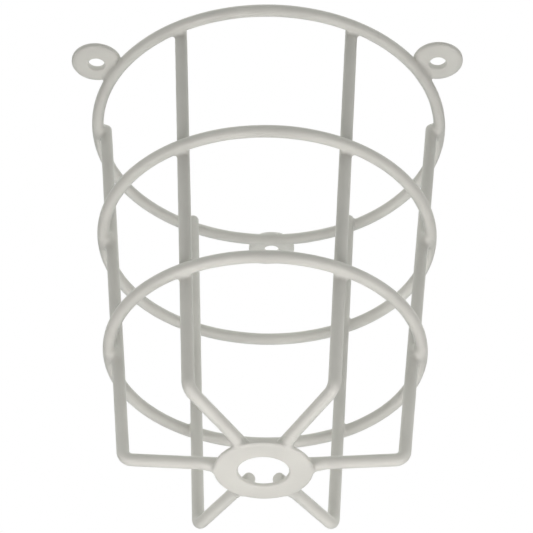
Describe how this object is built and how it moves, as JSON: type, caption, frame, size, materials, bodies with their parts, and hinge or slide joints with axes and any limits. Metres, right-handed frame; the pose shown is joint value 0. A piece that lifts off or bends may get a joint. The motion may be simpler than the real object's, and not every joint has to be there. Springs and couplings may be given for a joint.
{
  "type": "beacon guard",
  "caption": "Tapered welded wire cage that guards a round beacon light, with a washer at its front and round mounting lugs at its base.",
  "frame": {"origin": "centre of the mounting lugs' bolt circle, on the plane that the lugs rest on", "axes": "+Z along the cage's axis from the mounting plane to the hub washer; +Y through the first lug"},
  "size_m": [0.1274, 0.1316, 0.14],
  "materials": {
    "coat": "pale grey satin powder coat on steel"
  },
  "bodies": {
    "root": {"base_ring": "coat", "middle_ring": "coat", "front_ring": "coat", "bar_1": "coat", "bar_2": "coat", "bar_3": "coat", "bar_4": "coat", "bar_5": "coat", "bar_6": "coat", "hub_washer": "coat", "lug_1": "coat", "lug_2": "coat", "lug_3": "coat"}
  },
  "joints": []
}
